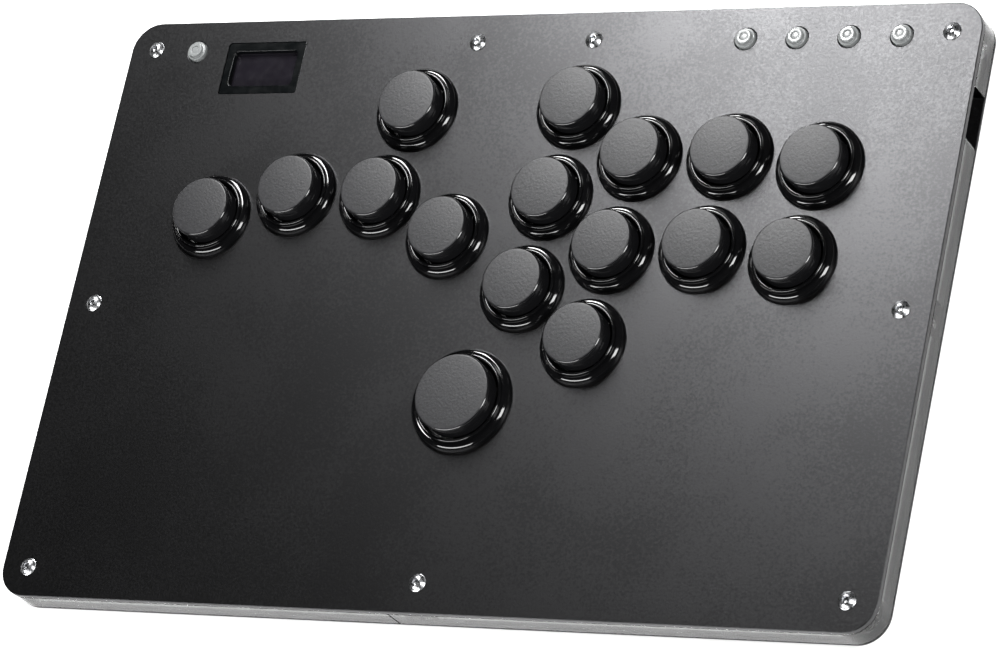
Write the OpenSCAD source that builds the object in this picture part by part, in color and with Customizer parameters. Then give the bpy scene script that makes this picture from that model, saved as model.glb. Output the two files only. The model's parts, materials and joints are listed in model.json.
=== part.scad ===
// Flat all-button game controller.
// A metal top plate and a thin bottom plate are bolted either side of a clear edge frame. Sixteen round
// push buttons, five small function buttons and a little display sit in the top plate, over one circuit board.
// Origin: centre of the panel at the underside of the feet. +X right, +Y to the back, +Z up. Millimetres.

/* [Panel] */
// Width of the panel, left to right
panel_w = 298; // [296:1:306]
// Depth of the panel, front to back
panel_d = 197; // [196:1:204]
// Radius of the panel's four corners
corner_r = 9.5; // [7:0.5:11]
// Thickness of the metal top plate
top_t = 2; // [1.5:0.1:2.5]
// Height of the clear frame between the plates
frame_h = 8; // [8:0.1:9]
// Thickness of the bottom plate
bottom_t = 1.2; // [1:0.1:2]
// Height of the rubber feet
foot_h = 2; // [1.5:0.1:3]

/* [Clear frame] */
// Thickness of the frame's walls
wall_t = 4.5; // [4:0.5:5]
// Distance of the screws from the panel's edges
screw_inset = 9.5; // [9:0.25:10]
// Gap where the two lengths of frame meet at the front
seam_gap = 0.4; // [0.2:0.1:1]
// Place of that gap, from the panel's centre
seam_x = -9; // [-14:1:-8]
// Width of the port gap in the right wall
port_gap = 14.5; // [14:0.5:16]
// Place of the port gap's middle, from the panel's centre
port_y = 64.6; // [63:0.1:66]

/* [Buttons] */
// Distance between neighbouring buttons
pitch = 30.3; // [30:0.1:32]
// Lean of the right hand's button columns, in degrees
column_lean = 5.8; // [4:0.1:7]
// How far a button travels
travel = 2.5; // [2:0.1:2.5]
// Hole in the plate for a small button
small_hole_d = 24; // [23.9:0.1:24.1]
// Hole in the plate for the thumb button
thumb_hole_d = 30; // [29.9:0.1:30.1]

/* [Function buttons] */
// Distance between function buttons
function_pitch = 17.1; // [15:0.1:18]
// Distance of the row from the panel's back edge
function_inset = 10.5; // [10:0.1:11]
// How far a function button travels
function_travel = 0.4; // [0.2:0.1:0.4]

/* [Display] */
// Width of the cut-out for the display
window_w = 29.2; // [28.5:0.1:30]
// Height of the cut-out for the display
window_d = 18.2; // [17.5:0.1:19]
// Distance of the cut-out's middle from the panel's left edge
window_left = 51.5; // [50:0.5:53]
// Distance of the cut-out's middle from the panel's back edge
window_back = 16.7; // [16:0.1:17]

/* [Hidden] */
$fn = 64;
eps = 0.01;

// Levels, from the floor up
bottom_z = foot_h;
frame_z = bottom_z + bottom_t;
top_z = frame_z + frame_h;
face_z = top_z + top_t;
board_t = 1.6;
board_z = frame_z + 2.2;
board_top = board_z + board_t;

// Colours
black = "#1b1b1d";
plate_grey = "#3b3c3f";
clear = [0.86, 0.9, 0.9, 0.4];
steel = "#c9cbce";

// Left hand: middles of the five small buttons
LEFT_BUTTONS = [[-103, 30], [-73.5, 37.5], [-43, 36.5], [-16, 23.3], [-36.6, 66]];
// Right hand: middle of the back button in each column, and how many the column holds
RIGHT_COLUMNS = [[20.2, 66.2, 3], [44.7, 48.8, 3], [74.9, 49, 2], [105.1, 45.8, 2]];
// Thumb button's middle
THUMB = [1.8, -31];

column_step = -pitch * [sin(column_lean), cos(column_lean)];
right_buttons = [for (c = RIGHT_COLUMNS) for (n = [0:c[2] - 1]) [c[0], c[1]] + n * column_step];
small_buttons = concat(LEFT_BUTTONS, right_buttons);
buttons = concat(small_buttons, [THUMB]);
button_count = len(buttons);
thumb_index = button_count - 1;

// Size family of a button: [plate hole, flange radius, plunger radius, height of the plunger's top]
small_size = [small_hole_d, 14, 9.95, 8.4];
thumb_size = [thumb_hole_d, 16.75, 12.5, 7.9];
function size_of(i) = i == thumb_index ? thumb_size : small_size;

// Function buttons: four at the back right, one at the back left
function_y = panel_d / 2 - function_inset;
function_x = panel_w / 2 - 25.5;
function_places = concat([[-function_x, function_y]],
                         [for (n = [3:-1:0]) [function_x - n * function_pitch, function_y]]);

// Screws: corners, middle of each side, middle of the front, and a pair at the back
side_x = panel_w / 2 - screw_inset;
end_y = panel_d / 2 - screw_inset;
back_pair = 20.4;
screw_places = [[-side_x, end_y], [-back_pair, end_y], [back_pair, end_y], [side_x, end_y],
                [-side_x, 0], [side_x, 0], [-side_x, -end_y], [0, -end_y], [side_x, -end_y]];
screw_r = 1.5;
screw_hole_r = 1.6;
standoff_r = 2.5;
boss_r = 5.5;

// Feet and the board's spacers
foot_r = 6;
foot_places = [for (x = [-1, 0, 1]) for (y = [-1, 1]) [x * 118, y * 74]];
spacer_places = [for (x = [-126, -58, 128]) for (y = [-78, 4]) [x, y]];
spacer_r = 2.5;
board_screw_r = 1.2;

window_at = [window_left - panel_w / 2, panel_d / 2 - window_back];

// Low switch on the board
housing_w = 13.8;
housing_h = 5.4;
housing_floor = 0.6;
housing_roof = 0.9;
housing_top = board_top + housing_h;
stem_w = 10;
stem_d = 4.4;
stem_flange_t = 0.8;
slot_x = 2.85;
stem_top = housing_top + travel + 0.3;
guide_r = 1.5;
guide_hole_r = 1.8;

// Plunger and collar
skirt_z = housing_top + travel + 0.4;
skirt_t = 1.4;
plunger_gap = 0.35;
flange_rise = 3.2;
barrel_z = board_top + 1.5;
barrel_gap = 0.1;
nut_t = top_z - barrel_z - 0.3;

// USB-C receptacle, let into the board's edge
usb_w = 8.94;
usb_h = 3.2;
usb_l = 7.3;
usb_t = 0.3;
usb_x = panel_w / 2 - wall_t - 0.8;
usb_z = frame_z + frame_h / 2;
board_gap = 0.9;

function two(i) = i < 10 ? str("0", i) : str(i);
function arc(c, r, a0, a1, n = 8) =
    [for (k = [0:n]) let (a = a0 + (a1 - a0) * k / n) c + r * [cos(a), sin(a)]];

STATIC_NODES = ["top_plate", "frame_rear_left", "frame_front_right", "bottom_plate", "circuit_board",
    "switch_housings", "switch_sockets", "button_collars", "thumb_collar", "ring_nuts",
    "function_switches", "board_components", "usb_port", "display_board", "display_panel",
    "display_bezel", "display_header", "top_screws", "standoffs", "bottom_screws", "rubber_feet",
    "board_spacers", "board_screws"];

// Draws the children at each place of a list
module at_each(places) {
    for (p = places) translate([p[0], p[1], 0]) children();
}

// A rectangle with rounded corners, about the origin
module rounded(w, d, r) {
    square([w - 2 * r, d], center = true);
    square([w, d - 2 * r], center = true);
    for (x = [-1, 1]) for (y = [-1, 1]) translate([x * (w / 2 - r), y * (d / 2 - r)]) circle(r);
}

// A flat plate standing on level z
module slab(z, t) {
    translate([0, 0, z]) linear_extrude(t) children();
}

module top_plate() {
    color(plate_grey) slab(top_z, top_t) difference() {
        rounded(panel_w, panel_d, corner_r);
        at_each(small_buttons) circle(d = small_hole_d);
        at_each([THUMB]) circle(d = thumb_hole_d);
        at_each(function_places) circle(3.6);
        at_each(screw_places) circle(screw_hole_r);
        translate(window_at) rounded(window_w, window_d, 1);
    }
}

// The whole frame seen from above, before it is cut into two lengths
module frame_outline() {
    difference() {
        union() {
            difference() {
                rounded(panel_w, panel_d, corner_r);
                rounded(panel_w - 2 * wall_t, panel_d - 2 * wall_t, corner_r - wall_t);
            }
            at_each(screw_places) circle(boss_r);
            for (s = [-1, 1]) {
                translate([s * (panel_w / 2 - screw_inset / 2), 0]) square([screw_inset, 2 * boss_r], center = true);
                translate([0, s * (panel_d / 2 - screw_inset / 2)]) square([2 * boss_r, screw_inset], center = true);
            }
        }
        at_each(screw_places) circle(standoff_r + 0.1);
    }
}

// The right front quarter of the plan, from the seam to the port gap
module front_right_region(grow) {
    translate([seam_x - grow, -panel_d]) square([panel_w, panel_d + 2 * boss_r]);
    translate([panel_w / 4, -panel_d / 2]) square([panel_w, panel_d / 2 + port_y - port_gap / 2 + grow]);
}

module frame_rear_left() {
    color(clear) slab(frame_z, frame_h) difference() {
        frame_outline();
        front_right_region(seam_gap / 2);
        translate([panel_w / 2, port_y]) square([3 * wall_t, port_gap], center = true);
    }
}

module frame_front_right() {
    end_r = 3.2;
    end_y0 = port_y - port_gap / 2 - end_r;
    color(clear) slab(frame_z, frame_h) difference() {
        intersection() {
            frame_outline();
            front_right_region(-seam_gap / 2);
        }
        // the wall's end at the port is rounded on its outer corner
        difference() {
            translate([panel_w / 2 - end_r, end_y0]) square([2 * end_r, 2 * end_r]);
            translate([panel_w / 2 - end_r, end_y0]) circle(end_r);
        }
    }
}

module bottom_plate() {
    color(plate_grey) slab(bottom_z, bottom_t) difference() {
        rounded(panel_w, panel_d, corner_r);
        at_each(screw_places) circle(screw_hole_r);
    }
}

module circuit_board() {
    inner_w = panel_w - 2 * wall_t - 2 * board_gap;
    inner_d = panel_d - 2 * wall_t - 2 * board_gap;
    color(black) slab(board_z, board_t) difference() {
        rounded(inner_w, inner_d, 4);
        at_each(screw_places) circle(boss_r + board_gap);
        for (s = [-1, 1]) {
            translate([s * panel_w / 2, 0])
                square([2 * screw_inset, 2 * (boss_r + board_gap)], center = true);
            translate([0, s * panel_d / 2])
                square([2 * (boss_r + board_gap), 2 * screw_inset], center = true);
        }
        at_each(buttons) circle(guide_hole_r);
        at_each(spacer_places) circle(board_screw_r + 0.1);
        translate([usb_x, port_y]) square([2 * usb_l + 0.6, usb_w + 0.6], center = true);
    }
}

module switch_housings() {
    color("#2a2a2c") at_each(buttons) difference() {
        translate([-housing_w / 2, -housing_w / 2, board_top]) cube([housing_w, housing_w, housing_h]);
        translate([-5.9, -5.9, board_top + housing_floor])
            cube([11.8, 11.8, housing_h - housing_floor - housing_roof]);
        translate([-stem_w / 2 - 0.2, -stem_d / 2 - 0.2, board_top + housing_floor])
            cube([stem_w + 0.4, stem_d + 0.4, housing_h]);
        translate([0, 0, board_top - eps]) cylinder(r = guide_hole_r, h = housing_floor + 2 * eps);
    }
}

module switch_sockets() {
    // each socket is a low block with a plated pad at either end
    color("#35363a") at_each(buttons) translate([-4.5, 3.2, board_z - 1.8]) difference() {
        cube([9.5, 4, 1.8]);
        for (x = [2.1, 7.4]) translate([x, 2, -eps]) cylinder(d = 1.5, h = 1.4);
    }
}

// Profile of a collar: flange with a rounded shoulder, inner ridge, and a barrel through the plate
module collar(size) {
    bore = size[2] + plunger_gap;
    barrel = size[0] / 2 - barrel_gap;
    edge = size[1];
    shoulder = 2.6;
    ridge_r = 0.55;
    profile = concat(
        [[bore, barrel_z], [barrel, barrel_z], [barrel, face_z], [edge, face_z]],
        arc([edge - shoulder, face_z + 0.5], shoulder, 0, 72),
        arc([bore + 1.35, face_z + flange_rise - ridge_r], ridge_r, 80, 170, 4),
        [[bore, face_z + flange_rise - 1.5]]);
    rotate_extrude() polygon(profile);
}

module button_collars() {
    color(black) at_each(small_buttons) collar(small_size);
}

module thumb_collar() {
    color(black) at_each([THUMB]) collar(thumb_size);
}

module ring_nuts() {
    color("#2a2a2c") for (i = [0:button_count - 1]) translate([buttons[i][0], buttons[i][1], top_z - nut_t]) {
        hole = size_of(i)[0] / 2;
        difference() {
            cylinder(r = hole + 2, h = nut_t);
            translate([0, 0, -eps]) cylinder(r = hole, h = nut_t + 2 * eps);
            // grip notches round the rim
            for (a = [0:45:315]) rotate(a) translate([hole + 2.2, 0, -eps]) cylinder(r = 0.8, h = nut_t + 2 * eps);
        }
    }
}

// Plunger: a thin-walled cap with a domed top and a post that stands on the switch stem
module plunger(i) {
    size = size_of(i);
    r = size[2];
    top = face_z + size[3];
    round_r = 1.1;
    rim_z = top - 0.35;
    dome = (r - round_r) * (r - round_r) / (2 * 0.35) + 0.35 / 2;
    half = asin((r - round_r) / dome);
    outer = concat(
        [[r, skirt_z]],
        arc([r - round_r, rim_z - round_r], round_r, 0, 90, 6),
        arc([0, top - dome], dome, 90 - half * 0.8, 90, 5));
    color("#3a3a3c") translate([buttons[i][0], buttons[i][1], 0]) {
        difference() {
            rotate_extrude() polygon(concat([[0, skirt_z]], outer));
            translate([0, 0, skirt_z - eps]) cylinder(r = r - skirt_t, h = top - skirt_z - 2.1);
        }
        translate([0, 0, stem_top]) cylinder(r = 3.6, h = top - stem_top - 2);
        // two legs that clip into the stem's slots
        for (s = [-1, 1]) translate([s * slot_x - 0.5, -1.4, stem_top - 2]) cube([1, 2.8, 2 + eps]);
    }
}

// Switch stem: slotted block on a flange, with a round guide below
module stem(i) {
    flange_z = board_top + housing_h - housing_roof - stem_flange_t - 0.1;
    color("#b23a32") translate([buttons[i][0], buttons[i][1], 0]) difference() {
        union() {
            translate([-5.5, -4, flange_z]) cube([11, 8, stem_flange_t]);
            translate([-stem_w / 2, -stem_d / 2, flange_z]) cube([stem_w, stem_d, stem_top - flange_z]);
            translate([0, 0, flange_z - 1.6]) cylinder(r = guide_r, h = 1.6 + eps);
        }
        for (s = [-1, 1]) translate([s * slot_x - 0.6, -1.5, stem_top - 2.2]) cube([1.2, 3, 2.3]);
    }
}

module function_switches() {
    color("#2a2a2c") at_each(function_places) difference() {
        translate([-3, -3, board_top]) cube([6, 6, 2.5]);
        translate([0, 0, board_top + 1.4]) cylinder(r = 2, h = 1.2);
    }
}

// Clear function button: stepped round head, retaining flange under the plate, foot in the switch
module function_button(i) {
    p = function_places[i];
    head = 1.9;
    foot_z = board_top + 1.4 + function_travel + 0.1;
    under = top_z - 0.1;
    color(clear) translate([p[0], p[1], 0]) rotate_extrude() polygon([
        [0, foot_z], [1.75, foot_z], [1.75, under - 0.6], [4.3, under - 0.6], [4.3, under],
        [3.3, under], [3.3, face_z + 0.9], [3.0, face_z + 1.2], [2.4, face_z + 1.3],
        [2.3, face_z + head - 0.1], [2.2, face_z + head], [1.3, face_z + head], [1.2, face_z + head - 0.3],
        [0, face_z + head - 0.3]]);
}

module board_components() {
    color(black) translate([0, 0, board_top]) {
        translate([-56, -62, 0]) cube([7, 7, 0.9]);
        translate([-46, -61, 0]) cube([5, 4, 0.9]);
        translate([-57, -50, 0]) cube([3.2, 2.5, 0.8]);
        translate([104, -34, 0]) cube([3, 1.7, 1.1]);
    }
    color(steel) translate([0, 0, board_top])
        for (x = [0:5]) translate([-62 + 4 * x, -68, 0]) cube([1.6, 0.8, 0.8]);
}

module usb_port() {
    color(steel) translate([usb_x - usb_l, port_y, usb_z]) rotate([90, 0, 90]) difference() {
        linear_extrude(usb_l) rounded(usb_w, usb_h, 1.5);
        translate([0, 0, 1]) linear_extrude(usb_l) rounded(usb_w - 2 * usb_t, usb_h - 2 * usb_t, 1.2);
    }
    // four lugs that are soldered to the top of the board
    color(steel) for (x = [1.5, 5]) for (s = [-1, 1])
        translate([usb_x - usb_l + x, port_y + s * (usb_w / 2 + 0.6) - 0.8, board_top])
            cube([1.2, 1.6, usb_t]);
    color(black) translate([usb_x - usb_l + 1, port_y - 3.3, usb_z - 0.35]) cube([5, 6.6, 0.7]);
}

display_glass_top = top_z - 0.2;
display_glass_t = 1.5;
display_board_t = 1.2;

module display_board() {
    color("#16264a") slab(display_glass_top - display_glass_t - display_board_t, display_board_t)
        translate(window_at) square([27.4, 22], center = true);
}

module display_panel() {
    color("#2e2c33") slab(display_glass_top - display_glass_t, display_glass_t)
        translate(window_at) square([26.6, 19.2], center = true);
}

// Bezel: fills the plate's cut-out, with a rounded inner opening over the screen
module display_bezel() {
    color(black) slab(top_z, top_t - 0.2) translate(window_at) difference() {
        rounded(window_w - 0.2, window_d - 0.2, 0.9);
        rounded(23.6, 12.2, 1.4);
    }
}

module display_header() {
    header_z = board_top;
    color(black) translate([window_at[0] - 5.1, window_at[1] + 8.2, header_z])
        cube([10.2, 2, display_glass_top - display_glass_t - display_board_t - header_z]);
}

module top_screws() {
    head_r = 2.85;
    head_h = 1.65;
    ball = (head_r * head_r + head_h * head_h) / (2 * head_h) + 0.05;
    color(steel) at_each(screw_places) difference() {
        union() {
            translate([0, 0, face_z]) intersection() {
                cylinder(r = head_r, h = head_h);
                translate([0, 0, head_h - ball]) sphere(ball);
            }
            translate([0, 0, face_z - 6]) cylinder(r = screw_r, h = 6 + eps);
        }
        translate([0, 0, face_z + 0.5]) cylinder(d = 2.3, h = head_h, $fn = 6);
    }
}

module standoffs() {
    color(steel) at_each(screw_places) difference() {
        translate([0, 0, frame_z]) cylinder(r = standoff_r, h = frame_h);
        translate([0, 0, frame_z - eps]) cylinder(r = screw_r + 0.05, h = frame_h + 2 * eps);
    }
}

module bottom_screws() {
    color(steel) at_each(screw_places) difference() {
        union() {
            translate([0, 0, bottom_z - 1]) cylinder(r = 2.75, h = 1);
            translate([0, 0, bottom_z - eps]) cylinder(r = screw_r, h = 3.5);
        }
        translate([0, 0, bottom_z - 1 - eps]) cylinder(d = 2.3, h = 0.7, $fn = 6);
    }
}

module rubber_feet() {
    color("#202022") at_each(foot_places) rotate_extrude() polygon(concat(
        [[0, 0]], arc([foot_r - 0.6, 0.6], 0.6, -90, 0, 4), [[foot_r, foot_h], [0, foot_h]]));
}

module board_spacers() {
    color("white") at_each(spacer_places) difference() {
        translate([0, 0, frame_z]) cylinder(r = spacer_r, h = board_z - frame_z);
        translate([0, 0, frame_z - eps]) cylinder(r = board_screw_r + 0.05, h = board_z);
    }
}

module board_screws() {
    color(steel) at_each(spacer_places) difference() {
        union() {
            translate([0, 0, board_top]) cylinder(r = 2.2, h = 1);
            translate([0, 0, frame_z + 0.2]) cylinder(r = board_screw_r, h = board_top - frame_z);
        }
        for (a = [0, 90]) rotate(a) translate([-1.2, -0.25, board_top + 0.5]) cube([2.4, 0.5, 1]);
    }
}

top_plate();
frame_rear_left();
frame_front_right();
bottom_plate();
circuit_board();
switch_housings();
switch_sockets();
button_collars();
thumb_collar();
ring_nuts();
function_switches();
board_components();
usb_port();
display_board();
display_panel();
display_bezel();
display_header();
top_screws();
standoffs();
bottom_screws();
rubber_feet();
board_spacers();
board_screws();
for (i = [1:button_count]) {
    plunger(i - 1);
    stem(i - 1);
}
for (i = [1:len(function_places)])
    function_button(i - 1);
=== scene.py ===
"""Looks of the flat button controller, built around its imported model."""

import json
import math

import bpy
from mathutils import Matrix, Vector


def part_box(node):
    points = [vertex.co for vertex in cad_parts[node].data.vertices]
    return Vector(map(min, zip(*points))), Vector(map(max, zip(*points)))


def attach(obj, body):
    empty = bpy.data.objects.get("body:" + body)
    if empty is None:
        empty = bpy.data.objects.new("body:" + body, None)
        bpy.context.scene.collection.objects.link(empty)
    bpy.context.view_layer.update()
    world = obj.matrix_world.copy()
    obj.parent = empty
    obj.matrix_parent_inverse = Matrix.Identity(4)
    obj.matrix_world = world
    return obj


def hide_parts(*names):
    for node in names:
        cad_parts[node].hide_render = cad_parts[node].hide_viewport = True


bl_info = {
    "name": "Button controller panel",
    "version": (1, 0, 0),
    "blender": (4, 5, 0),
    "location": "3D View > Sidebar > Controller",
    "description": "Plate, clear frame, push buttons, display and studio of a flat button controller",
    "category": "Object",
}

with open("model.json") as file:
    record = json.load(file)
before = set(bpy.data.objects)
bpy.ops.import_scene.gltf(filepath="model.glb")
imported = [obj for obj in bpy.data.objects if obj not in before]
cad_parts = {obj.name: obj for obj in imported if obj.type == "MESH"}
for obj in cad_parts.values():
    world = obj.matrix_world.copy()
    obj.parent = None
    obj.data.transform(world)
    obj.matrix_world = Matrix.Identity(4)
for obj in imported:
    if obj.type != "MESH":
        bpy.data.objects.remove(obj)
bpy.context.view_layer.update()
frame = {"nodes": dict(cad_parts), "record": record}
MM = 0.001


# ---------------------------------------------------------------- colours and nodes

def linear(hex_colour):
    """Turns an sRGB hex colour into the linear values that a shader reads."""
    parts = [int(hex_colour[k:k + 2], 16) / 255 for k in (1, 3, 5)]
    return tuple(c / 12.92 if c <= 0.04045 else ((c + 0.055) / 1.055) ** 2.4 for c in parts)


def add(tree, kind, settings=None, links=None):
    """Adds a node, with its settings by socket or attribute name, and its links."""
    node = tree.nodes.new(kind)
    for key, value in (settings or {}).items():
        if hasattr(node, key):
            setattr(node, key, value)
        else:
            node.inputs[key].default_value = value
    for key, source in (links or {}).items():
        tree.links.new(source, node.inputs[key])
    return node


def surface(name, colour, roughness, **sockets):
    """A material with one principled shader. Returns the material, its tree, the shader and coordinates."""
    material = bpy.data.materials.new(name)
    material.use_nodes = True
    tree = material.node_tree
    shader = tree.nodes["Principled BSDF"]
    shader.inputs["Base Color"].default_value = (*colour, 1)
    shader.inputs["Roughness"].default_value = roughness
    for key, value in sockets.items():
        shader.inputs[key.replace("_", " ")].default_value = value
    coords = add(tree, "ShaderNodeTexCoord")
    return material, tree, shader, coords.outputs["Object"]


def grain(tree, vector, size_mm, detail=2.0, stretch=(1, 1, 1)):
    """Noise whose lumps are size_mm across, longer along an axis where stretch is below 1."""
    mapping = add(tree, "ShaderNodeMapping", {"Scale": stretch}, {"Vector": vector})
    return add(tree, "ShaderNodeTexNoise", {"Scale": 1 / (size_mm * MM), "Detail": detail},
               {"Vector": mapping.outputs["Vector"]}).outputs["Fac"]


def spread(tree, value, low, high, start=0.3, end=0.7):
    """Maps a noise value from start..end to low..high."""
    return add(tree, "ShaderNodeMapRange",
               {"From Min": start, "From Max": end, "To Min": low, "To Max": high},
               {"Value": value}).outputs["Result"]


def tinted(tree, value, colour, change):
    """A colour that grows darker and lighter by a share of itself, by value."""
    ramp = add(tree, "ShaderNodeValToRGB", links={"Fac": value})
    for element, position, share in zip(ramp.color_ramp.elements, (0.3, 0.7), (1 - change, 1 + change)):
        element.position = position
        element.color = (*(share * c for c in colour), 1)
    return ramp.outputs["Color"]


def relief(tree, shader, height, depth_mm, strength=1.0):
    """Bumps the shader's normal by a height pattern that is depth_mm deep."""
    bump = add(tree, "ShaderNodeBump", {"Strength": strength, "Distance": depth_mm * MM},
               {"Height": height})
    tree.links.new(bump.outputs["Normal"], shader.inputs["Normal"])


# ---------------------------------------------------------------- finishes

def anodised_aluminium(name, colour, roughness):
    """Blasted and anodised sheet: dark metal whose fine grit spreads a lamp into a wide soft sheen."""
    material, tree, shader, at = surface(name, colour, roughness, Metallic=1.0)
    # The real grit is about 0.1 mm, too fine to show, so it is drawn at 0.7 mm.
    grit = grain(tree, at, 0.7, 3.0)
    mottle = grain(tree, at, 0.9, 2.0)
    cloud = grain(tree, at, 38.0, 2.0)
    mixed = add(tree, "ShaderNodeMath", {"operation": "ADD"}, {0: cloud, 1: mottle}).outputs["Value"]
    shade = spread(tree, mixed, 0.0, 1.0, 0.7, 1.3)
    tree.links.new(tinted(tree, shade, colour, 0.11), shader.inputs["Base Color"])
    tree.links.new(spread(tree, grit, roughness - 0.035, roughness + 0.035), shader.inputs["Roughness"])
    relief(tree, shader, grit, 0.024)
    return material


def gloss_abs(name, colour):
    """Black ABS from a polished tool: nearly a mirror, with a slight moulding ripple."""
    material, tree, shader, at = surface(name, colour, 0.09, IOR=1.53)
    wipe = grain(tree, at, 1.3, 3.0)
    tree.links.new(tinted(tree, wipe, colour, 0.1), shader.inputs["Base Color"])
    tree.links.new(spread(tree, wipe, 0.06, 0.11), shader.inputs["Roughness"])
    relief(tree, shader, grain(tree, at, 5.0, 1.0), 0.012)
    return material


def textured_abs(name, colour, top_roughness):
    """Moulded ABS plunger: a fine spark-eroded texture on its top and polished flanks, whose colour is drawn darker
    than the top's as a painted shade.
    """
    material, tree, shader, at = surface(name, colour, top_roughness, IOR=1.53)
    normal = add(tree, "ShaderNodeNewGeometry").outputs["Normal"]
    upright = add(tree, "ShaderNodeSeparateXYZ", links={"Vector": normal}).outputs["Z"]
    is_top = spread(tree, upright, 0.0, 1.0, 0.8, 0.97)
    # The real texture is about 0.1 mm, too fine to show, so it is drawn at 0.7 mm.
    stipple = grain(tree, at, 0.7, 3.0)
    # Painted shade: the flanks take 0.4 of the plunger's colour, darker than the top, though the plunger is all one
    # colour.
    flank_painted_shade = add(tree, "ShaderNodeMix", {"data_type": "RGBA"})
    tree.links.new(is_top, flank_painted_shade.inputs["Factor"])
    flank_painted_shade.inputs["A"].default_value = (*(0.4 * c for c in colour), 1)
    tree.links.new(tinted(tree, grain(tree, at, 0.8), colour, 0.3), flank_painted_shade.inputs["B"])
    tree.links.new(flank_painted_shade.outputs["Result"], shader.inputs["Base Color"])
    tree.links.new(spread(tree, is_top, 0.12, top_roughness, 0.0, 1.0), shader.inputs["Roughness"])
    height = add(tree, "ShaderNodeMath", {"operation": "MULTIPLY"}, {0: stipple, 1: is_top})
    relief(tree, shader, height.outputs["Value"], 0.075)
    return material


def clear_plastic(name, colour, roughness, line_mm, line_stretch, clear=1.0):
    """Cast or moulded clear plastic with polished faces: bends light strongly, with faint tool lines."""
    material, tree, shader, at = surface(name, colour, roughness, IOR=1.49, Transmission_Weight=clear)
    haze = grain(tree, at, 12.0, 2.0)
    tree.links.new(spread(tree, haze, roughness * 0.6, roughness * 1.5), shader.inputs["Roughness"])
    relief(tree, shader, grain(tree, at, line_mm, 2.0, line_stretch), 0.02)
    return material


def bright_plating(name, colour, roughness):
    """Nickel-chrome plating over steel: a mirror with fine handling marks."""
    material, tree, shader, at = surface(name, colour, roughness, Metallic=1.0)
    marks = grain(tree, at, 0.6, 4.0)
    tree.links.new(spread(tree, marks, roughness * 0.6, roughness * 1.6), shader.inputs["Roughness"])
    relief(tree, shader, marks, 0.003)
    return material


def moulded(name, colour, roughness, lump_mm=0.5, depth_mm=0.01):
    """A moulded or coated part with a fine matt texture and slight changes of shade."""
    material, tree, shader, at = surface(name, colour, roughness)
    tree.links.new(tinted(tree, grain(tree, at, 6.0), colour, 0.12), shader.inputs["Base Color"])
    texture = grain(tree, at, lump_mm, 3.0)
    tree.links.new(spread(tree, texture, roughness - 0.05, roughness + 0.05), shader.inputs["Roughness"])
    relief(tree, shader, texture, depth_mm)
    return material


def make_finishes(colours):
    """Every finish of the object, by the record's slot name."""
    return {
        "anodised_top": anodised_aluminium("blasted_anodised_plate", colours.plate, 0.36),
        "anodised_bottom": anodised_aluminium("blasted_anodised_base", colours.base, 0.42),
        "collar_gloss": gloss_abs("gloss_abs_collar", colours.collar),
        "plunger_satin": textured_abs("textured_abs_plunger", colours.plunger, 0.5),
        "clear_acrylic": clear_plastic("polished_acrylic_frame", colours.frame, 0.08, 1.6, (1, 1, 0.08)),
        "clear_button": clear_plastic("clear_moulded_button", linear("#a4a7a7"), 0.24, 2.5, (1, 1, 1), 0.45),
        "chrome_screw": bright_plating("chromed_screw", colours.screw, 0.26),
        "plated_steel": bright_plating("nickel_plated_steel", linear("#c4c5c4"), 0.22),
        "bezel_plastic": moulded("bezel_abs", colours.bezel, 0.2, 3.0, 0.002),
        "display_screen": moulded("dark_display_glass", colours.screen, 0.16, 3.0, 0.002),
        "display_carrier": moulded("blue_solder_mask", linear("#111e38"), 0.35),
        "black_board": moulded("black_solder_mask", linear("#151517"), 0.34),
        "switch_body": moulded("switch_nylon", linear("#1f1f21"), 0.5),
        "socket_body": moulded("socket_resin", linear("#28292c"), 0.5),
        "nut_plastic": moulded("nut_nylon", linear("#19191c"), 0.5),
        "chip_resin": moulded("chip_epoxy", linear("#1a1b1d"), 0.55),
        "foot_rubber": moulded("foot_rubber", linear("#171718"), 0.75, 0.4, 0.03),
        "spacer_nylon": moulded("natural_nylon", linear("#dbd9cf"), 0.5),
        "stem_plastic": moulded("stem_acetal", linear("#912d27"), 0.4),
    }


# ---------------------------------------------------------------- modelling helpers

def only(obj):
    """Deselects everything and makes obj the one selected and active object."""
    bpy.ops.object.select_all(action="DESELECT")
    obj.select_set(True)
    bpy.context.view_layer.objects.active = obj


def smooth(obj, degrees=35, flats=False):
    """Shades an object smooth up to an angle. With flats, its large faces stay truly flat."""
    only(obj)
    bpy.ops.object.shade_smooth_by_angle(angle=math.radians(degrees))
    if flats:
        normals = obj.modifiers.new("flat faces", "WEIGHTED_NORMAL")
        normals.weight = 100
        normals.keep_sharp = True
        bpy.ops.object.modifier_apply(modifier=normals.name)


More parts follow.
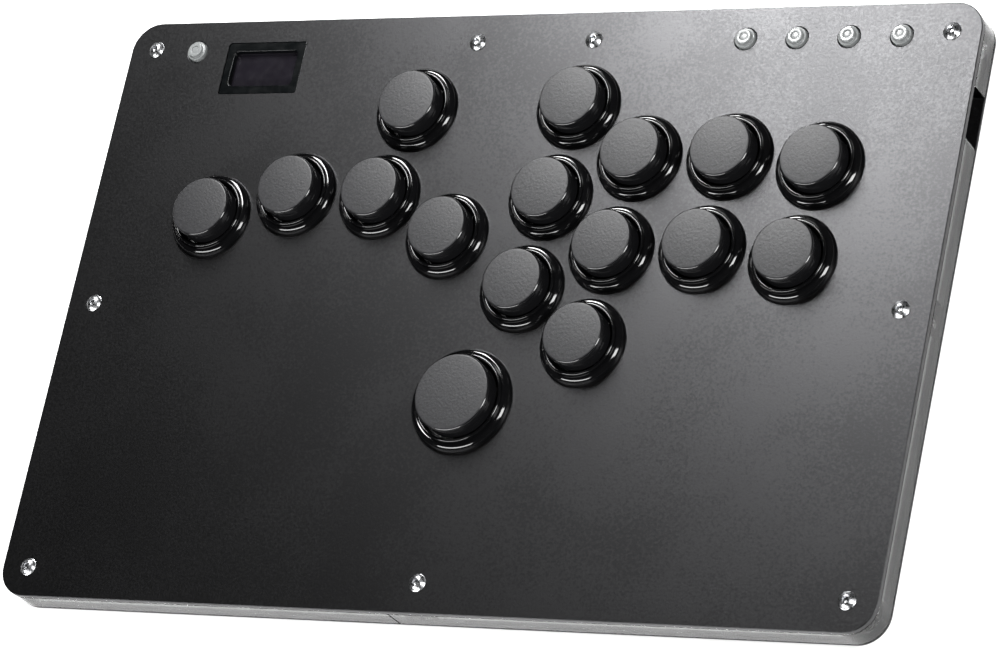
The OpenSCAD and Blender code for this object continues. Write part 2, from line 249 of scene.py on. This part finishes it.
def turned(name, profile, segments, cap_start=False, cap_end=True):
    """A turned shape about the Z axis: a circle that is extruded and resized ring by ring along (r, z)."""
    bpy.ops.object.select_all(action="DESELECT")
    r, z = profile[0]
    bpy.ops.mesh.primitive_circle_add(vertices=segments, radius=r, location=(0, 0, z))
    obj = bpy.context.active_object
    obj.name = obj.data.name = name
    bpy.ops.object.transform_apply(location=True, rotation=True, scale=True)
    bpy.ops.object.mode_set(mode="EDIT")
    bpy.ops.mesh.select_all(action="SELECT")
    if cap_start:
        bpy.ops.mesh.edge_face_add()
        bpy.ops.mesh.select_all(action="SELECT")
    for new_r, new_z in profile[1:]:
        if cap_start:
            bpy.ops.mesh.extrude_region_move(TRANSFORM_OT_translate={"value": (0, 0, new_z - z)})
        else:
            bpy.ops.mesh.extrude_edges_move(TRANSFORM_OT_translate={"value": (0, 0, new_z - z)})
        scale = max(new_r, 1e-6) / r
        bpy.ops.transform.resize(value=(scale, scale, 1), center_override=(0, 0, new_z))
        r, z = max(new_r, 1e-6), new_z
    if cap_end:
        bpy.ops.mesh.merge(type="CENTER")
    bpy.ops.mesh.select_all(action="SELECT")
    bpy.ops.mesh.normals_make_consistent(inside=False)
    bpy.ops.object.mode_set(mode="OBJECT")
    return obj


def arc(cx, cz, r, start, end, steps):
    """Points of an arc in the (r, z) plane, in degrees."""
    angles = [math.radians(start + (end - start) * k / steps) for k in range(steps + 1)]
    return [(cx + r * math.cos(a), cz + r * math.sin(a)) for a in angles]


def copy_at(source, name, x, y):
    """A copy of a piece with its own mesh, moved within that mesh."""
    piece = source.copy()
    piece.data = source.data.copy()
    piece.name = piece.data.name = name
    bpy.context.collection.objects.link(piece)
    piece.data.transform(Matrix.Translation((x, y, 0)))
    return piece


def joined(name, pieces):
    """Joins like pieces into one named object."""
    bpy.ops.object.select_all(action="DESELECT")
    for piece in pieces:
        piece.select_set(True)
    bpy.context.view_layer.objects.active = pieces[0]
    bpy.ops.object.join()
    pieces[0].name = pieces[0].data.name = name
    return pieces[0]


def discard(obj):
    bpy.data.objects.remove(obj, do_unlink=True)


def settle(piece, body, slot, *nodes):
    """Gives a piece its finish and its body, and hides the CAD nodes it stands for."""
    piece.data.materials.clear()
    piece.data.materials.append(FINISHES[slot])
    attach(piece, body)
    if nodes:
        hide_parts(*nodes)


def middle(node):
    """The middle of a node's box, seen from above."""
    low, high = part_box(node)
    return (low[0] + high[0]) / 2, (low[1] + high[1]) / 2


def islands(node):
    """The middles, seen from above, of the separate solids in a grouped CAD node."""
    mesh = frame["nodes"][node].data
    parent = list(range(len(mesh.vertices)))

    def root(i):
        while parent[i] != i:
            parent[i] = parent[parent[i]]
            i = parent[i]
        return i

    by_place = {}
    for v in mesh.vertices:
        key = tuple(round(c * 1e6) for c in v.co)
        parent[root(v.index)] = root(by_place.setdefault(key, v.index))
    for edge in mesh.edges:
        parent[root(edge.vertices[0])] = root(edge.vertices[1])
    groups = {}
    for v in mesh.vertices:
        groups.setdefault(root(v.index), []).append(v.co)
    middles = []
    for points in groups.values():
        xs, ys = [p.x for p in points], [p.y for p in points]
        middles.append(((min(xs) + max(xs)) / 2, (min(ys) + max(ys)) / 2))
    return sorted(middles)


# ---------------------------------------------------------------- settings

def tint(name, description, hex_colour):
    """A colour setting."""
    return bpy.props.FloatVectorProperty(name=name, description=description, default=linear(hex_colour),
                                         size=3, min=0, max=1, subtype="COLOR")


class ColourSettings(bpy.types.PropertyGroup):
    """Colours of the parts that show."""
    plate: tint("Plate", "Anodised top plate", "#414142")
    base: tint("Base", "Anodised bottom plate", "#373738")
    frame: tint("Frame", "Clear acrylic frame", "#eef1f0")
    collar: tint("Collar", "Gloss collars", "#0a0a0b")
    plunger: tint("Plunger", "Textured plungers", "#242426")
    screw: tint("Screw", "Plated screws", "#bfc0c2")
    bezel: tint("Bezel", "Frame round the display", "#07090a")
    screen: tint("Screen", "Display that is switched off", "#19171c")


class PanelSettings(bpy.types.PropertyGroup):
    """Sizes of the plates, clear frame and screws that a user may change."""
    plate_edge: bpy.props.FloatProperty(
        name="Plate edge", description="Broken edge round the plates", default=0.3 * MM, unit="LENGTH")
    frame_edge: bpy.props.FloatProperty(
        name="Frame edge", description="Rounded edge of the clear frame", default=0.5 * MM, unit="LENGTH")
    socket_width: bpy.props.FloatProperty(
        name="Socket width", description="Hexagon socket across its flats", default=2.0 * MM, unit="LENGTH")


class ButtonSettings(bpy.types.PropertyGroup):
    """Shape of the collars and plungers."""
    segments: bpy.props.IntProperty(
        name="Segments", description="Facets round a button", default=96, min=32, max=160)
    shoulder: bpy.props.FloatProperty(
        name="Shoulder", description="Radius of the collar's outer shoulder", default=2.2 * MM, unit="LENGTH")
    ridge: bpy.props.FloatProperty(
        name="Ridge", description="Radius of the collar's inner ridge", default=0.5 * MM, unit="LENGTH")
    plunger_round: bpy.props.FloatProperty(
        name="Plunger round", description="Radius round the plunger's top edge", default=0.8 * MM, unit="LENGTH")
    crown: bpy.props.FloatProperty(
        name="Crown", description="Rise of the plunger's domed top", default=0.35 * MM, unit="LENGTH")


class StudioSettings(bpy.types.PropertyGroup):
    """Camera and lights."""
    azimuth: bpy.props.FloatProperty(
        name="Azimuth", description="Camera's turn round the panel", default=math.radians(55.18), subtype="ANGLE")
    elevation: bpy.props.FloatProperty(
        name="Elevation", description="Camera's height angle", default=math.radians(53.55), subtype="ANGLE")
    roll: bpy.props.FloatProperty(
        name="Roll", description="Camera's turn about its own axis", default=math.radians(-48.57),
        subtype="ANGLE")
    distance: bpy.props.FloatProperty(
        name="Distance", description="Camera to the point it is aimed at", default=1398.3 * MM, unit="LENGTH")
    aim: bpy.props.FloatVectorProperty(
        name="Aim", description="Point of the top face that the camera is aimed at, from its middle",
        default=(9.0 * MM, -5.9 * MM), size=2, unit="LENGTH")
    lens: bpy.props.FloatProperty(
        name="Lens", description="Focal length in millimetres", default=167.6)
    key_power: bpy.props.FloatProperty(
        name="Key power", description="Watts of the near lamp behind the panel", default=5.6)
    floor: tint("Floor", "Studio floor", "#f6f6f6")


# ---------------------------------------------------------------- plates

def outline_plate(name, node, corner, edge):
    """A plate with rounded corners and broken edges, in the place of a CAD plate."""
    low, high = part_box(node)
    bpy.ops.object.select_all(action="DESELECT")
    bpy.ops.mesh.primitive_plane_add(size=1, location=((low[0] + high[0]) / 2, (low[1] + high[1]) / 2, low[2]))
    plate = bpy.context.active_object
    plate.name = plate.data.name = name
    plate.scale = (high[0] - low[0], high[1] - low[1], 1)
    bpy.ops.object.transform_apply(location=True, rotation=True, scale=True)
    bpy.ops.object.mode_set(mode="EDIT")
    bpy.ops.mesh.select_all(action="SELECT")
    bpy.ops.mesh.bevel(offset=corner, segments=20, affect="VERTICES")
    bpy.ops.mesh.select_all(action="SELECT")
    bpy.ops.mesh.extrude_region_move(TRANSFORM_OT_translate={"value": (0, 0, high[2] - low[2])})
    bpy.ops.mesh.select_all(action="SELECT")
    bpy.ops.mesh.normals_make_consistent(inside=False)
    bpy.ops.object.mode_set(mode="OBJECT")
    round_edges(plate, edge, 3, 60)
    return plate


def round_edges(piece, width, segments, over_degrees):
    """Rounds a piece's edges that turn by more than an angle."""
    bevel = piece.modifiers.new("broken edge", "BEVEL")
    bevel.width = width
    bevel.segments = segments
    bevel.limit_method = "ANGLE"
    bevel.angle_limit = math.radians(over_degrees)
    only(piece)
    bpy.ops.object.modifier_apply(modifier=bevel.name)


def flared_cutter(name, radius, low_z, high_z, flare, segments=64):
    """A round cutter whose mouths widen by flare, so the hole it leaves has broken edges."""
    past = 1 * MM
    return turned(name, [(radius + flare + past, low_z - past), (radius, low_z + flare), (radius, high_z - flare),
                         (radius + flare + past, high_z + past), (0, high_z + past)], segments, cap_start=True)


def cut(piece, cutter):
    """Cuts one solid out of another and discards it."""
    boolean = piece.modifiers.new("cut", "BOOLEAN")
    boolean.operation = "DIFFERENCE"
    boolean.solver = "EXACT"
    boolean.object = cutter
    only(piece)
    bpy.ops.object.modifier_apply(modifier=boolean.name)
    discard(cutter)


class CONTROLLER_OT_top_plate(bpy.types.Operator):
    """Make the blasted and anodised top plate, with its holes and display cut-out"""
    bl_idname = "controller.top_plate"
    bl_label = "Top plate"

    def execute(self, context):
        sizes = context.scene.controller_panel
        edge = sizes.plate_edge
        low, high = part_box("top_plate")
        plate = outline_plate("top_plate_sheet", "top_plate", CORNER, edge)
        holes = [(12.0, islands("button_collars")), (15.0, islands("thumb_collar")),
                 (1.6, islands("top_screws")), (3.6, [middle(node) for node in FUNCTION_NODES])]
        b_low, b_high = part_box("display_bezel")
        cutters = [rounded_block("cutter", *middle("display_bezel"), b_high[0] - b_low[0] + 0.2 * MM,
                                 b_high[1] - b_low[1] + 0.2 * MM, low[2] - MM, high[2] + MM, 1 * MM)]
        for radius, places in holes:
            cutter = flared_cutter("cutter", radius * MM, low[2], high[2], edge)
            cutters += [copy_at(cutter, "cutter", x, y) for x, y in places]
            discard(cutter)
        cut(plate, joined("cutters", cutters))
        smooth(plate, 50, flats=True)
        settle(plate, "panel", "anodised_top", "top_plate")
        return {"FINISHED"}


def rounded_block(name, x, y, w, d, low_z, high_z, radius, segments=8):
    """An upright block with rounded corners."""
    bpy.ops.object.select_all(action="DESELECT")
    bpy.ops.mesh.primitive_plane_add(size=1, location=(x, y, low_z))
    block = bpy.context.active_object
    block.name = block.data.name = name
    block.scale = (w, d, 1)
    bpy.ops.object.transform_apply(location=True, rotation=True, scale=True)
    bpy.ops.object.mode_set(mode="EDIT")
    bpy.ops.mesh.select_all(action="SELECT")
    bpy.ops.mesh.bevel(offset=radius, segments=segments, affect="VERTICES")
    bpy.ops.mesh.select_all(action="SELECT")
    bpy.ops.mesh.extrude_region_move(TRANSFORM_OT_translate={"value": (0, 0, high_z - low_z)})
    bpy.ops.mesh.select_all(action="SELECT")
    bpy.ops.mesh.normals_make_consistent(inside=False)
    bpy.ops.object.mode_set(mode="OBJECT")
    return block


class CONTROLLER_OT_bottom_plate(bpy.types.Operator):
    """Make the thin bottom plate"""
    bl_idname = "controller.bottom_plate"
    bl_label = "Bottom plate"

    def execute(self, context):
        plate = outline_plate("bottom_plate_sheet", "bottom_plate", CORNER,
                              context.scene.controller_panel.plate_edge)
        smooth(plate, 50, flats=True)
        settle(plate, "panel", "anodised_bottom", "bottom_plate")
        return {"FINISHED"}


class CONTROLLER_OT_frame(bpy.types.Operator):
    """Make both lengths of the clear frame, with polished edges"""
    bl_idname = "controller.clear_frame"
    bl_label = "Clear frame"

    def execute(self, context):
        for node in ("frame_rear_left", "frame_front_right"):
            piece = frame["nodes"][node].copy()
            piece.data = piece.data.copy()
            piece.name = piece.data.name = node + "_acrylic"
            context.collection.objects.link(piece)
            only(piece)
            bpy.ops.object.mode_set(mode="EDIT")
            bpy.ops.mesh.select_all(action="SELECT")
            bpy.ops.mesh.remove_doubles(threshold=1e-6)
            bpy.ops.mesh.dissolve_limited(angle_limit=math.radians(1))
            bpy.ops.object.mode_set(mode="OBJECT")
            round_edges(piece, context.scene.controller_panel.frame_edge, 2, 60)
            smooth(piece, 40, flats=True)
            settle(piece, "panel", "clear_acrylic", node)
        return {"FINISHED"}


# ---------------------------------------------------------------- buttons

def collar_profile(bore, barrel, flange, face_z, low_z, shape):
    """Profile of a collar, from the bore's foot, round the barrel, over the shoulder and ridge."""
    rise = 3.2 * MM
    return ([(bore, low_z), (barrel, low_z), (barrel, face_z - 0.05 * MM), (barrel, face_z),
             (flange - 0.3 * MM, face_z)]
            + arc(flange - 0.3 * MM, face_z + 0.3 * MM, 0.3 * MM, -60, -10, 3)
            + arc(flange - shape.shoulder, face_z + 0.4 * MM, shape.shoulder, 0, 78, 14)
            + [(bore + 1.62 * MM, face_z + 2.35 * MM)]
            + arc(bore + 1.0 * MM, face_z + rise - shape.ridge, shape.ridge, -8, 176, 12)
            + [(bore + 0.1 * MM, face_z + rise - 1.6 * MM), (bore, face_z + rise - 1.8 * MM),
               (bore, face_z)])


class CONTROLLER_OT_collars(bpy.types.Operator):
    """Make the sixteen gloss collars"""
    bl_idname = "controller.collars"
    bl_label = "Collars"

    def execute(self, context):
        shape = context.scene.controller_buttons
        face_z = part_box("top_plate")[1][2]
        for node, hole, flange, plunger in (("button_collars", 12.0, 14.0, 9.95),
                                            ("thumb_collar", 15.0, 16.75, 12.5)):
            low_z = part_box(node)[0][2]
            bore = (plunger + 0.35) * MM
            profile = collar_profile(bore, (hole - 0.1) * MM, flange * MM, face_z, low_z, shape)
            first = turned(node + "_gloss", profile, shape.segments, cap_end=False)
            only(first)
            bpy.ops.object.mode_set(mode="EDIT")
            bpy.ops.mesh.select_all(action="DESELECT")
            bpy.ops.mesh.select_non_manifold()
            bpy.ops.mesh.bridge_edge_loops()
            bpy.ops.mesh.select_all(action="SELECT")
            bpy.ops.mesh.normals_make_consistent(inside=False)
            bpy.ops.object.mode_set(mode="OBJECT")
            copies = [copy_at(first, "collar", x, y) for x, y in islands(node)]
            discard(first)
            group = joined(node + "_gloss", copies)
            smooth(group, 40)
            settle(group, "panel", "collar_gloss", node)
        return {"FINISHED"}


def plunger_profile(r, skirt_z, top, shape):
    """Profile of a plunger, from the skirt's inner edge, round the outside, to the crown."""
    edge = shape.plunger_round
    flat = r - edge
    dome = (flat * flat + shape.crown ** 2) / (2 * shape.crown)
    half = math.degrees(math.asin(flat / dome))
    wall = 1.4 * MM
    rim_z = top - shape.crown
    return ([(r - wall, skirt_z + 2 * MM), (r - wall, skirt_z), (r - 0.15 * MM, skirt_z), (r, skirt_z + 0.15 * MM)]
            + arc(r - edge, rim_z - edge, edge, 0, 90 - half, 10)
            + arc(0, top - dome, dome, 90 - half * 0.94, 90, 10))


class CONTROLLER_OT_plungers(bpy.types.Operator):
    """Make the plungers, each riding on its own button"""
    bl_idname = "controller.plungers"
    bl_label = "Plungers"

    def execute(self, context):
        shape = context.scene.controller_buttons
        made = {}
        for n in range(1, BUTTONS + 1):
            node = f"plunger_{n:02d}"
            low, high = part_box(node)
            radius = round((high[0] - low[0]) / 2, 5)
            if radius not in made:
                made[radius] = turned("plunger", plunger_profile(radius, SKIRT_Z, high[2], shape),
                                      shape.segments)
                smooth(made[radius], 30)
            piece = copy_at(made[radius], f"plunger_cap_{n:02d}", *middle(node))
            settle(piece, f"button_{n:02d}", "plunger_satin", node)
        for source in made.values():
            discard(source)
        return {"FINISHED"}


class CONTROLLER_OT_function_buttons(bpy.types.Operator):
    """Make the five clear stepped function buttons"""
    bl_idname = "controller.function_buttons"
    bl_label = "Function buttons"

    def execute(self, context):
        face_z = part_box("top_plate")[1][2]
        low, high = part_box("function_button_1")
        under = face_z - 2.1 * MM
        rows = [(1.6, low[2]), (1.75, low[2] + 0.15 * MM), (1.75, under - 0.6 * MM), (4.3, under - 0.6 * MM),
                (4.3, under), (3.3, under), (3.3, face_z + 0.55 * MM)]
        profile = [(r * MM, z) for r, z in rows]
        profile += arc(3.0 * MM, face_z + 0.6 * MM, 0.3 * MM, 10, 90, 5)
        profile += [(2.55 * MM, face_z + 0.92 * MM), (2.45 * MM, face_z + 1.0 * MM)]
        profile += arc(2.15 * MM, high[2] - 0.3 * MM, 0.3 * MM, 5, 90, 5)
        profile += arc(1.35 * MM, high[2] - 0.12 * MM, 0.12 * MM, 90, 180, 3)
        profile += [(1.2 * MM, high[2] - 0.3 * MM), (0.6 * MM, high[2] - 0.22 * MM), (0.2 * MM, high[2] - 0.2 * MM)]
        first = turned("function_button", profile, 64, cap_start=True)
        smooth(first, 40)
        for n, node in enumerate(FUNCTION_NODES, 1):
            piece = copy_at(first, f"function_button_clear_{n}", *middle(node))
            settle(piece, f"function_{n}", "clear_button", node)
        discard(first)
        return {"FINISHED"}


# ---------------------------------------------------------------- screws, display, port

def button_head_screw(low_z, seat_z, high_z, head_r, across):
    """A domed screw with a hexagon socket, from its shank's end up to its crown."""
    height = high_z - seat_z
    ball = (head_r ** 2 + height ** 2) / (2 * height)
    half = math.degrees(math.asin(head_r / ball))
    profile = [(1.3 * MM, low_z), (1.5 * MM, low_z + 0.2 * MM), (1.5 * MM, seat_z),
               (head_r - 0.15 * MM, seat_z), (head_r, seat_z + 0.15 * MM)]
    profile += arc(0, high_z - ball, ball, 90 - half * 0.93, 90, 12)
    screw = turned("screw", profile, 64, cap_start=True)
    bpy.ops.object.select_all(action="DESELECT")
    bpy.ops.mesh.primitive_cylinder_add(vertices=6, radius=across / math.sqrt(3), depth=2 * height,
                                        location=(0, 0, seat_z + 0.3 * height + height))
    socket = bpy.context.active_object
    bpy.ops.object.transform_apply(location=True, rotation=True, scale=True)
    cut(screw, socket)
    round_edges(screw, 0.08 * MM, 2, 50)
    return screw


class CONTROLLER_OT_screws(bpy.types.Operator):
    """Make the button-head screws of both plates, with their hexagon sockets"""
    bl_idname = "controller.screws"
    bl_label = "Screws"

    def execute(self, context):
        across = context.scene.controller_panel.socket_width
        for node, seat, head_r in (("top_screws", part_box("top_plate")[1][2], 2.85 * MM),
                                   ("bottom_screws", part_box("bottom_plate")[0][2], 2.75 * MM)):
            low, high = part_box(node)
            # A screw from below is made head up and turned over.
            below = node == "bottom_screws"
            ends = (-high[2], -seat, -low[2]) if below else (low[2], seat, high[2])
            screw = button_head_screw(*ends, head_r, across)
            if below:
                screw.data.transform(Matrix.Rotation(math.pi, 4, "X"))
            copies = [copy_at(screw, "screw", x, y) for x, y in islands(node)]
            discard(screw)
            group = joined(node + "_button_head", copies)
            smooth(group, 35)
            settle(group, "panel", "chrome_screw", node)
        return {"FINISHED"}


class CONTROLLER_OT_feet(bpy.types.Operator):
    """Make the six rubber feet, each with a rounded rim and a dished sole"""
    bl_idname = "controller.feet"
    bl_label = "Feet"

    def execute(self, context):
        low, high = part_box("rubber_feet")
        places = islands("rubber_feet")
        radius = (high[0] - low[0] - (places[-1][0] - places[0][0])) / 2
        rim = 0.5 * MM
        profile = [(0.3 * MM, low[2] + 0.35 * MM), (radius * 0.55, low[2] + 0.35 * MM)]
        profile += arc(radius - 1.6 * MM, low[2] + 0.35 * MM, 0.35 * MM, -160, -90, 4)
        profile += arc(radius - rim, low[2] + rim, rim, -90, 0, 6)
        profile += [(radius - 0.1 * MM, high[2]), (0.5 * MM, high[2])]
        foot = turned("foot", profile, 64, cap_start=True)
        copies = [copy_at(foot, "foot", x, y) for x, y in places]
        discard(foot)
        group = joined("dished_rubber_feet", copies)
        smooth(group, 40)
        settle(group, "panel", "foot_rubber", "rubber_feet")
        return {"FINISHED"}


class CONTROLLER_OT_display(bpy.types.Operator):
    """Make the display's bezel and the dark window in it"""
    bl_idname = "controller.display"
    bl_label = "Display"

    def execute(self, context):
        low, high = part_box("display_bezel")
        x, y = middle("display_bezel")
        bezel = rounded_block("display_bezel_frame", x, y, high[0] - low[0], high[1] - low[1],
                              low[2], high[2], 0.9 * MM)
        opening = rounded_block("cutter", x, y, 23.6 * MM, 12.2 * MM, low[2] - MM, high[2] + MM, 1.4 * MM, 10)
        cut(bezel, opening)
        round_edges(bezel, 0.2 * MM, 3, 60)
        smooth(bezel, 50, flats=True)
        settle(bezel, "panel", "bezel_plastic", "display_bezel")
        return {"FINISHED"}


class CONTROLLER_OT_finishes(bpy.types.Operator):
    """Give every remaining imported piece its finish"""
    bl_idname = "controller.finishes"
    bl_label = "Finishes"

    def execute(self, context):
        FINISHES.update(make_finishes(context.scene.controller_colours))
        for entry in frame["record"]["subparts"]:
            piece = frame["nodes"][entry["node"]]
            if not piece.material_slots:
                piece.data.materials.append(None)
            for slot in piece.material_slots:
                slot.material = FINISHES[entry["material_slot"]]
        return {"FINISHED"}


# ---------------------------------------------------------------- studio

def direction(azimuth, elevation):
    """Unit vector from the panel towards a place, where azimuth 0 is in front and 90 is to the right."""
    return Vector((math.sin(azimuth) * math.cos(elevation), -math.cos(azimuth) * math.cos(elevation),
                   math.sin(elevation)))


def softbox(name, target, azimuth, elevation, distance, width, height, power, colour="#ffffff"):
    """A rectangular lamp aimed at the target."""
    data = bpy.data.lights.new(name, "AREA")
    data.shape = "RECTANGLE"
    data.size, data.size_y = width, height
    data.energy = power
    data.color = linear(colour)
    lamp = bpy.data.objects.new(name, data)
    towards = direction(math.radians(azimuth), math.radians(elevation))
    lamp.location = target + distance * towards
    lamp.rotation_euler = towards.to_track_quat("Z", "Y").to_euler()
    bpy.context.collection.objects.link(lamp)
    return lamp


class CONTROLLER_OT_studio(bpy.types.Operator):
    """Make the floor, the lamps and the camera"""
    bl_idname = "controller.studio"
    bl_label = "Studio"

    def execute(self, context):
        studio = context.scene.controller_studio
        face_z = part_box("top_plate")[1][2]
        target = Vector((studio.aim[0], studio.aim[1], face_z))

        back = direction(studio.azimuth, studio.elevation)
        level = Vector((0, 0, 1)).cross(back).normalized()
        upright = back.cross(level)
        right = math.cos(studio.roll) * level + math.sin(studio.roll) * upright
        up = back.cross(right)
        camera = bpy.data.objects.new("camera", bpy.data.cameras.new("camera"))
        camera.data.lens = studio.lens
        camera.data.sensor_width = 36
        camera.data.clip_end = 20
        camera.matrix_world = Matrix.Translation(target + studio.distance * back) @ Matrix(
            (right, up, back)).transposed().to_4x4()
        context.collection.objects.link(camera)
        context.scene.camera = camera

        bpy.ops.object.select_all(action="DESELECT")
        bpy.ops.mesh.primitive_plane_add(size=6, location=(0, 0, -0.0002))
        floor = context.active_object
        floor.name = floor.data.name = "studio_floor"
        bpy.ops.object.transform_apply(location=True, rotation=True, scale=True)
        paper, tree, shader, at = surface("studio_paper", studio.floor, 0.9)
        shader.inputs["Emission Color"].default_value = (1, 1, 1, 1)
        shader.inputs["Emission Strength"].default_value = 0.45
        floor.data.materials.append(paper)

        softbox("key_lamp", target, 204, 42, 0.64, 0.13, 0.36, studio.key_power)
        softbox("front_strip", target, -22, 32, 1.1, 1.1, 0.25, 12.0)
        softbox("right_strip", target, 86, 40, 1.1, 0.3, 0.7, 11.0)
        world = bpy.data.worlds.new("studio_room")
        world.use_nodes = True
        # A pale room lights the screws and the clear frame. It is dark above the back left, where the plate looks.
        tree = world.node_tree
        coords = add(tree, "ShaderNodeTexCoord")
        nearness = add(tree, "ShaderNodeVectorMath", {"operation": "DOT_PRODUCT"}, {0: coords.outputs["Generated"]})
        nearness.inputs[1].default_value = direction(math.radians(DARK_AZIMUTH), math.radians(DARK_ELEVATION))
        tree.links.new(spread(tree, nearness.outputs["Value"], 0.5, 0.01, 0.1, 0.66),
                       tree.nodes["Background"].inputs["Strength"])
        context.scene.world = world
        context.scene.view_settings.view_transform = "Standard"
        return {"FINISHED"}


class CONTROLLER_PT_pieces(bpy.types.Panel):
    """Sidebar list of the controller's pieces"""
    bl_idname = "CONTROLLER_PT_pieces"
    bl_label = "Button controller"
    bl_space_type = "VIEW_3D"
    bl_region_type = "UI"
    bl_category = "Controller"

    def draw(self, context):
        for group, settings in GROUPS.items():
            for name in settings.__annotations__:
                self.layout.prop(getattr(context.scene, group), name)
        for step in STEPS:
            self.layout.operator(step.bl_idname)


# ---------------------------------------------------------------- main

CORNER = 9.5 * MM
DARK_AZIMUTH, DARK_ELEVATION = 235, 53
BUTTONS = sum(name.startswith("plunger_") for name in frame["nodes"])
FUNCTION_NODES = sorted(name for name in frame["nodes"] if name.startswith("function_button_"))
SKIRT_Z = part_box("plunger_01")[0][2] + 2 * MM
FINISHES = {}
GROUPS = {"controller_colours": ColourSettings, "controller_panel": PanelSettings, "controller_buttons": ButtonSettings,
          "controller_studio": StudioSettings}
STEPS = [CONTROLLER_OT_finishes, CONTROLLER_OT_top_plate, CONTROLLER_OT_bottom_plate, CONTROLLER_OT_frame, CONTROLLER_OT_collars,
         CONTROLLER_OT_plungers, CONTROLLER_OT_function_buttons, CONTROLLER_OT_screws, CONTROLLER_OT_feet, CONTROLLER_OT_display, CONTROLLER_OT_studio]
CLASSES = [*GROUPS.values(), *STEPS, CONTROLLER_PT_pieces]


def register():
    for item in CLASSES:
        bpy.utils.register_class(item)
    for name, group in GROUPS.items():
        setattr(bpy.types.Scene, name, bpy.props.PointerProperty(type=group))


def unregister():
    for name in GROUPS:
        delattr(bpy.types.Scene, name)
    for item in reversed(CLASSES):
        bpy.utils.unregister_class(item)


def main():
    register()
    for step in STEPS:
        module, name = step.bl_idname.split(".")
        getattr(getattr(bpy.ops, module), name)()


if __name__ == "__main__":
    main()
